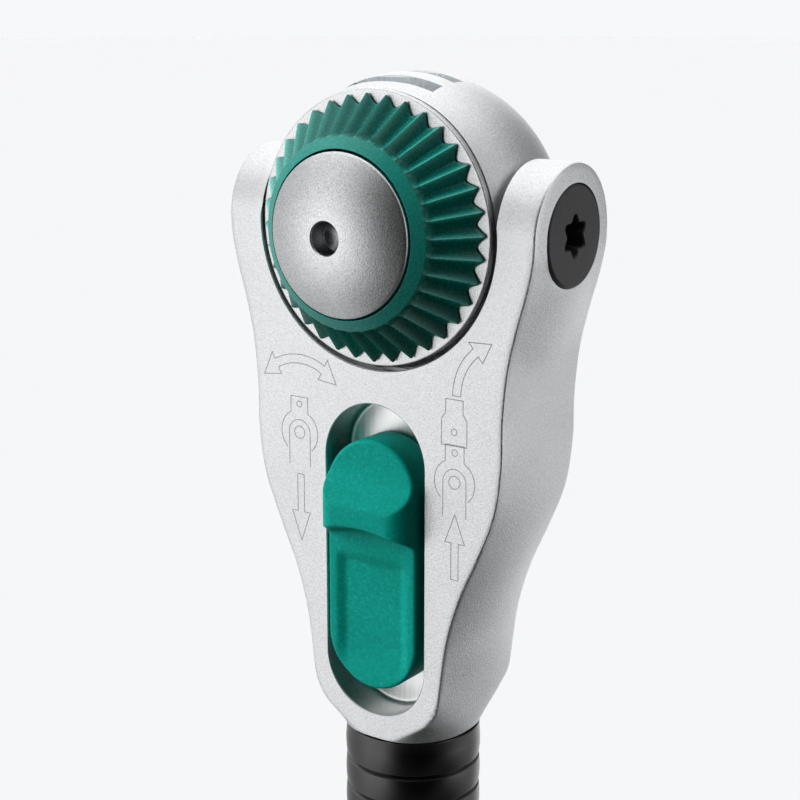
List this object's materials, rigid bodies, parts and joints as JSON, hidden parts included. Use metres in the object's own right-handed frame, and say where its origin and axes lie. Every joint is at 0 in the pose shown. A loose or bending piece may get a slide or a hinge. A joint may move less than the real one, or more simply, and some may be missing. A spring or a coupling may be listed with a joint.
{
  "type": "swivel-head socket ratchet",
  "caption": "Socket ratchet: ball head with a square drive and a knurled reversing thumbwheel swivels in a forked yoke, with thumb slides to lock it, a spinning sleeve and a round handle.",
  "frame": {"origin": "centre of the flat end of the handle, on which the tool stands", "axes": "+Z along the handle to the head, +Y out of the square drive, +X along the swivel axis to the right arm as seen from the thumbwheel side"},
  "size_m": [0.048, 0.0437, 0.1989],
  "materials": {
    "satin_chrome": "fine-grained satin chrome on steel",
    "dark_steel": "dark grey phosphated steel",
    "tool_steel": "plain ground steel",
    "bronze": "plain bearing bronze",
    "green_plastic": "satin moulded green plastic",
    "black_plastic": "satin moulded black plastic",
    "black_rubber": "matt soft-touch grip"
  },
  "bodies": {
    "handle": {"yoke": "satin_chrome", "pivot_screw_left": "dark_steel", "pivot_screw_right": "dark_steel", "sleeve_washer_top": "tool_steel", "sleeve_washer_bottom": "tool_steel", "handle_core": "black_plastic", "handle_grip": "black_rubber", "end_cap": "green_plastic", "handle_pin": "tool_steel"},
    "head": {"head_housing": "satin_chrome", "cover_plate": "satin_chrome", "cover_screw_1": "tool_steel", "cover_screw_2": "tool_steel", "cover_screw_3": "tool_steel", "pivot_bush_left": "bronze", "pivot_bush_right": "bronze", "drive_bush": "bronze", "pawl_pin": "tool_steel"},
    "drive": {"drive_gear": "tool_steel", "button_spring": "tool_steel"},
    "socket_ball": {"locking_ball": "tool_steel"},
    "button": {"push_button": "satin_chrome", "release_pin": "tool_steel"},
    "thumbwheel": {"thumbwheel": "green_plastic", "thumbwheel_clip": "tool_steel", "pawl_plunger": "tool_steel", "pawl_spring": "tool_steel"},
    "pawl": {"pawl": "tool_steel"},
    "lock": {"lock_bolt": "tool_steel", "slide_button_front": "green_plastic", "slide_button_back": "green_plastic", "slide_pin_upper": "tool_steel", "slide_pin_lower": "tool_steel", "click_ball_left": "tool_steel", "click_ball_right": "tool_steel", "click_spring": "tool_steel"},
    "sleeve": {"sleeve": "black_plastic", "sleeve_bush_top": "bronze", "sleeve_bush_bottom": "bronze"}
  },
  "joints": [
    {"name": "head_swivel", "type": "hinge", "parent": "handle", "child": "head", "pos_m": [0, 0, 0.1797], "axis": [1, 0, 0], "range_deg": [-15, 195]},
    {"name": "drive_spin", "type": "hinge", "parent": "head", "child": "drive", "pos_m": [0, 0, 0.1797], "axis": [0, 1, 0], "continuous": true},
    {"name": "reverser_turn", "type": "hinge", "parent": "head", "child": "thumbwheel", "pos_m": [0, 0, 0.1797], "axis": [0, 1, 0], "range_deg": [-24, 0]},
    {"name": "pawl_rock", "type": "hinge", "parent": "head", "child": "pawl", "pos_m": [0, 0, 0.1929], "axis": [0, 1, 0], "range_deg": [-0.5, 7.5]},
    {"name": "button_press", "type": "slide", "parent": "drive", "child": "button", "axis": [0, 1, 0], "range_m": [0, 0.003], "stiffness_N_per_m": 1500, "springref_m": -0.002, "deforming": ["button_spring"]},
    {"name": "ball_retract", "type": "slide", "parent": "drive", "child": "socket_ball", "axis": [0, 0, -1], "range_m": [-0.0001, 0.001]},
    {"name": "lock_slide", "type": "slide", "parent": "handle", "child": "lock", "axis": [0, 0, 1], "range_m": [-0.0032, 0.0032]},
    {"name": "sleeve_spin", "type": "hinge", "parent": "handle", "child": "sleeve", "pos_m": [0, 0, 0.0947], "axis": [0, 0, 1], "continuous": true}
  ],
  "couplings": [
    {"joint": "pawl_rock", "follows": "reverser_turn", "ratio": -0.29167},
    {"joint": "ball_retract", "follows": "button_press", "ratio": 0.3}
  ]
}
